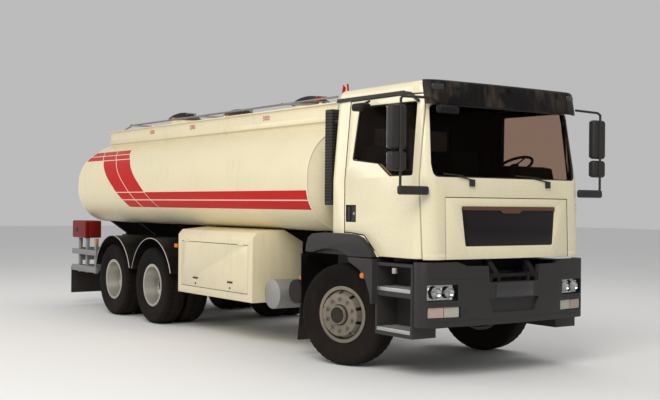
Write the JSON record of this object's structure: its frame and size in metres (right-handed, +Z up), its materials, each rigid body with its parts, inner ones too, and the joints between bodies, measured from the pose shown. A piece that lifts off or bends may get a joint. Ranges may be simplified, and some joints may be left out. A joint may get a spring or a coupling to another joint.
{
  "type": "tanker_truck",
  "caption": "Short-cab fuel tanker truck with tilting cab, steered front axle, tandem twin-wheel bogie and an oval tank with hinged manhole lids and a folding handrail.",
  "frame": {"origin": "centre of the bounding box in plan, at ground level under the tyres", "axes": "+X forwards along the truck, +Y to the driver's left, +Z up"},
  "size_m": [9.051, 3.02, 3.14],
  "materials": {
    "cream_paint": "weathered cream enamel",
    "cab_paint": "cream enamel, light dust",
    "dark_plastic": "faded dark grey moulding",
    "grille_plastic": "gloss black louvres",
    "visor_plastic": "weathered black",
    "chassis_paint": "black chassis paint with road dust",
    "cast_parts": "dusty dark casting",
    "tyre_rubber": "dusty worn rubber",
    "rim_paint": "silver wheel enamel, brake dust",
    "lamp_glass": "clear and amber lenses",
    "cab_window": "tinted clear",
    "tread_plate": "perforated tread plate",
    "grey_bars": "grey enamel",
    "red_box": "red enamel",
    "drum_steel": "dull heat-stained steel",
    "seat_cloth": "dark woven cover",
    "dash_plastic": "soft grained"
  },
  "bodies": {
    "chassis": {"frame": "chassis_paint", "axles": "cast_parts", "leaf_springs": "chassis_paint", "driveline": "cast_parts", "front_bumper": "dark_plastic", "step_wells": "dark_plastic", "step_treads": "tread_plate", "mudguards": "visor_plastic", "lamps": "lamp_glass", "tank": "cream_paint", "tank_top": "cream_paint", "rear_bars": "grey_bars", "tool_cabinet": "cream_paint", "side_boxes": "tread_plate", "silencer_and_air_tanks": "drum_steel", "extinguisher_box": "red_box"},
    "cab": {"cab_floor": "cab_paint", "cab_rear_wall": "cab_paint", "cab_sides": "cab_paint", "cab_front": "cab_paint", "cab_roof": "cab_paint", "cab_glass": "cab_window", "cab_trim": "dark_plastic", "sun_visor": "visor_plastic", "mirrors": "dark_plastic", "dashboard": "dash_plastic", "seats": "seat_cloth"},
    "front_flap": {"front_flap": "cab_paint", "grille": "grille_plastic"},
    "door_right": {"door_right": "cab_paint", "door_glass_right": "cab_window"},
    "door_left": {"door_left": "cab_paint", "door_glass_left": "cab_window"},
    "knuckle_right": {"knuckle_right": "cast_parts"},
    "knuckle_left": {"knuckle_left": "cast_parts"},
    "track_rod": {"track_rod": "cast_parts"},
    "wheel_front_right": {"tyre_front_right": "tyre_rubber", "rim_front_right": "rim_paint"},
    "wheel_front_left": {"tyre_front_left": "tyre_rubber", "rim_front_left": "rim_paint"},
    "wheels_rear1_right": {"tyres_rear1_right": "tyre_rubber", "rims_rear1_right": "rim_paint"},
    "wheels_rear1_left": {"tyres_rear1_left": "tyre_rubber", "rims_rear1_left": "rim_paint"},
    "wheels_rear2_right": {"tyres_rear2_right": "tyre_rubber", "rims_rear2_right": "rim_paint"},
    "wheels_rear2_left": {"tyres_rear2_left": "tyre_rubber", "rims_rear2_left": "rim_paint"},
    "cabinet_door": {"cabinet_door": "cream_paint"},
    "manhole_lid_rear": {"manhole_lid_rear": "cream_paint"},
    "manhole_lid_middle": {"manhole_lid_middle": "cream_paint"},
    "manhole_lid_front": {"manhole_lid_front": "cream_paint"},
    "handrail_post_1": {"handrail_post_1": "grey_bars"},
    "handrail_post_2": {"handrail_post_2": "grey_bars"},
    "handrail_post_3": {"handrail_post_3": "grey_bars"},
    "handrail": {"handrail": "grey_bars"},
    "extinguisher_lid": {"extinguisher_lid": "red_box"}
  },
  "joints": [
    {"name": "cab_tilt", "type": "hinge", "parent": "chassis", "child": "cab", "pos_m": [4.48, 0, 1], "axis": [0, 1, 0], "range_deg": [0, 60]},
    {"name": "door_right_swing", "type": "hinge", "parent": "cab", "child": "door_right", "pos_m": [4.362, -1.125, 2], "axis": [0, 0, 1], "range_deg": [0, 70]},
    {"name": "door_left_swing", "type": "hinge", "parent": "cab", "child": "door_left", "pos_m": [4.362, 1.125, 2], "axis": [0, 0, -1], "range_deg": [0, 70]},
    {"name": "front_flap_lift", "type": "hinge", "parent": "cab", "child": "front_flap", "pos_m": [4.458, 0, 1.78], "axis": [0, -1, 0], "range_deg": [0, 85]},
    {"name": "steer_left", "type": "hinge", "parent": "chassis", "child": "knuckle_left", "pos_m": [3.05, 0.88, 0.538], "axis": [0, 0, 1], "range_deg": [-58, 22]},
    {"name": "steer_right", "type": "hinge", "parent": "chassis", "child": "knuckle_right", "pos_m": [3.05, -0.88, 0.538], "axis": [0, 0, 1], "range_deg": [-58, 22]},
    {"name": "track_rod_pin", "type": "hinge", "parent": "knuckle_left", "child": "track_rod", "pos_m": [2.87881, 0.82438, 0.407], "axis": [0, 0, 1], "range_deg": [-22, 58]},
    {"name": "wheel_front_right_roll", "type": "hinge", "parent": "knuckle_right", "child": "wheel_front_right", "pos_m": [3.0979, -1.02741, 0.538], "axis": [-0.309, 0.9511, 0], "continuous": true},
    {"name": "wheel_front_left_roll", "type": "hinge", "parent": "knuckle_left", "child": "wheel_front_left", "pos_m": [3.0021, 1.02741, 0.538], "axis": [-0.309, 0.9511, 0], "continuous": true},
    {"name": "wheels_rear1_right_roll", "type": "hinge", "parent": "chassis", "child": "wheels_rear1_right", "pos_m": [-1.375, -1.084, 0.538], "axis": [0, 1, 0], "continuous": true},
    {"name": "wheels_rear1_left_roll", "type": "hinge", "parent": "chassis", "child": "wheels_rear1_left", "pos_m": [-1.375, 1.084, 0.538], "axis": [0, 1, 0], "continuous": true},
    {"name": "wheels_rear2_right_roll", "type": "hinge", "parent": "chassis", "child": "wheels_rear2_right", "pos_m": [-2.725, -1.084, 0.538], "axis": [0, 1, 0], "continuous": true},
    {"name": "wheels_rear2_left_roll", "type": "hinge", "parent": "chassis", "child": "wheels_rear2_left", "pos_m": [-2.725, 1.084, 0.538], "axis": [0, 1, 0], "continuous": true},
    {"name": "cabinet_door_swing", "type": "hinge", "parent": "chassis", "child": "cabinet_door", "pos_m": [0.415, -1.227, 1.2], "axis": [-1, 0, 0], "range_deg": [0, 100]},
    {"name": "manhole_rear_open", "type": "hinge", "parent": "chassis", "child": "manhole_lid_rear", "pos_m": [-3.094, 0, 3.022], "axis": [0, -1, 0], "range_deg": [0, 100]},
    {"name": "manhole_middle_open", "type": "hinge", "parent": "chassis", "child": "manhole_lid_middle", "pos_m": [-1.334, 0, 2.952], "axis": [0, -1, 0], "range_deg": [0, 100]},
    {"name": "manhole_front_open", "type": "hinge", "parent": "chassis", "child": "manhole_lid_front", "pos_m": [0.536, 0, 2.992], "axis": [0, -1, 0], "range_deg": [0, 100]},
    {"name": "handrail_post_1_raise", "type": "hinge", "parent": "chassis", "child": "handrail_post_1", "pos_m": [-2.75, -0.546, 2.885], "axis": [0, 1, 0], "range_deg": [0, 84]},
    {"name": "handrail_post_2_raise", "type": "hinge", "parent": "chassis", "child": "handrail_post_2", "pos_m": [-0.5, -0.546, 2.885], "axis": [0, 1, 0], "range_deg": [0, 84]},
    {"name": "handrail_post_3_raise", "type": "hinge", "parent": "chassis", "child": "handrail_post_3", "pos_m": [1.85, -0.546, 2.885], "axis": [0, 1, 0], "range_deg": [0, 84]},
    {"name": "handrail_level", "type": "hinge", "parent": "handrail_post_3", "child": "handrail", "pos_m": [0.95303, -0.546, 2.95874], "axis": [0, 1, 0], "range_deg": [-84, 0]},
    {"name": "extinguisher_lid_open", "type": "hinge", "parent": "chassis", "child": "extinguisher_lid", "pos_m": [-4.2075, -1.2, 1.4], "axis": [-1, 0, 0], "range_deg": [0, 100]}
  ],
  "couplings": [
    {"joint": "steer_right", "follows": "steer_left", "ratio": 1},
    {"joint": "track_rod_pin", "follows": "steer_left", "ratio": -1},
    {"joint": "handrail_post_1_raise", "follows": "handrail_post_3_raise", "ratio": 1},
    {"joint": "handrail_post_2_raise", "follows": "handrail_post_3_raise", "ratio": 1},
    {"joint": "handrail_level", "follows": "handrail_post_3_raise", "ratio": -1}
  ]
}
